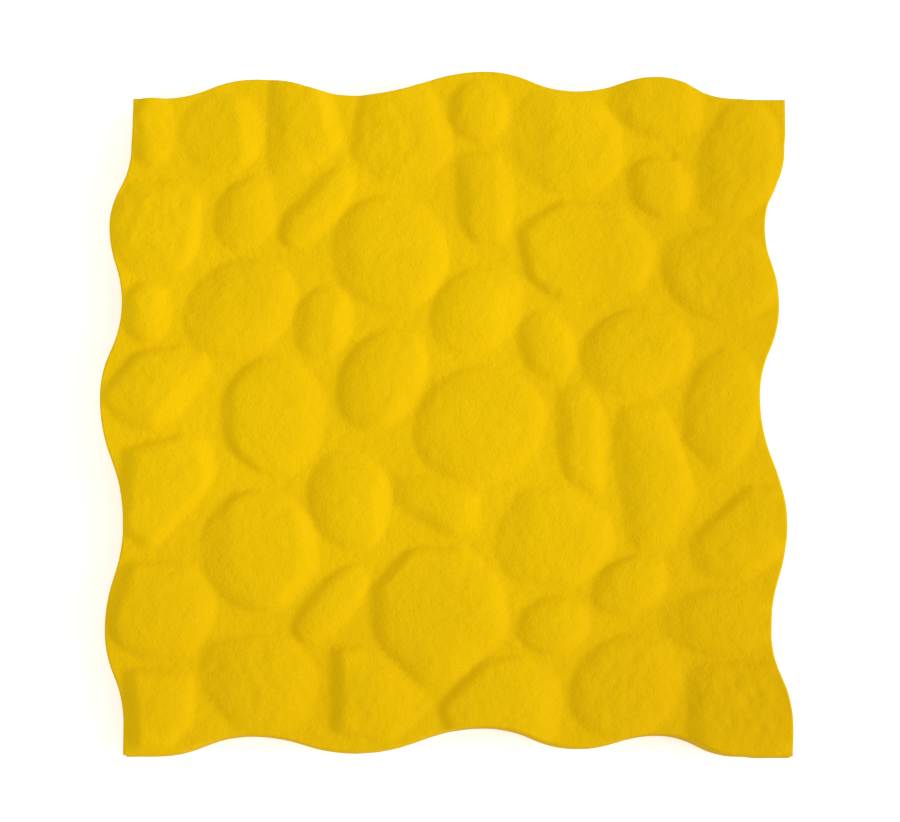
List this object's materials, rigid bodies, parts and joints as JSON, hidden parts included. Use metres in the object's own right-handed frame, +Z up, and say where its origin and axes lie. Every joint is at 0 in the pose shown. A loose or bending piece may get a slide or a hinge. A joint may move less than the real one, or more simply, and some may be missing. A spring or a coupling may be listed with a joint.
{
  "type": "pebble-faced concrete paving slab",
  "caption": "Square cast concrete paving slab with a river pebble relief on its face and wavy edges that interlock with its neighbours.",
  "frame": {"origin": "on the flat underside, in the middle of the slab's four corners", "axes": "+Z up out of the pebble face, +X and +Y along the two laying directions"},
  "size_m": [0.313, 0.313, 0.03],
  "materials": {
    "yellow_concrete": "through-coloured cast concrete, matt, with a fine sandy skin"
  },
  "bodies": {
    "root": {"paving_slab": "yellow_concrete"}
  },
  "joints": []
}
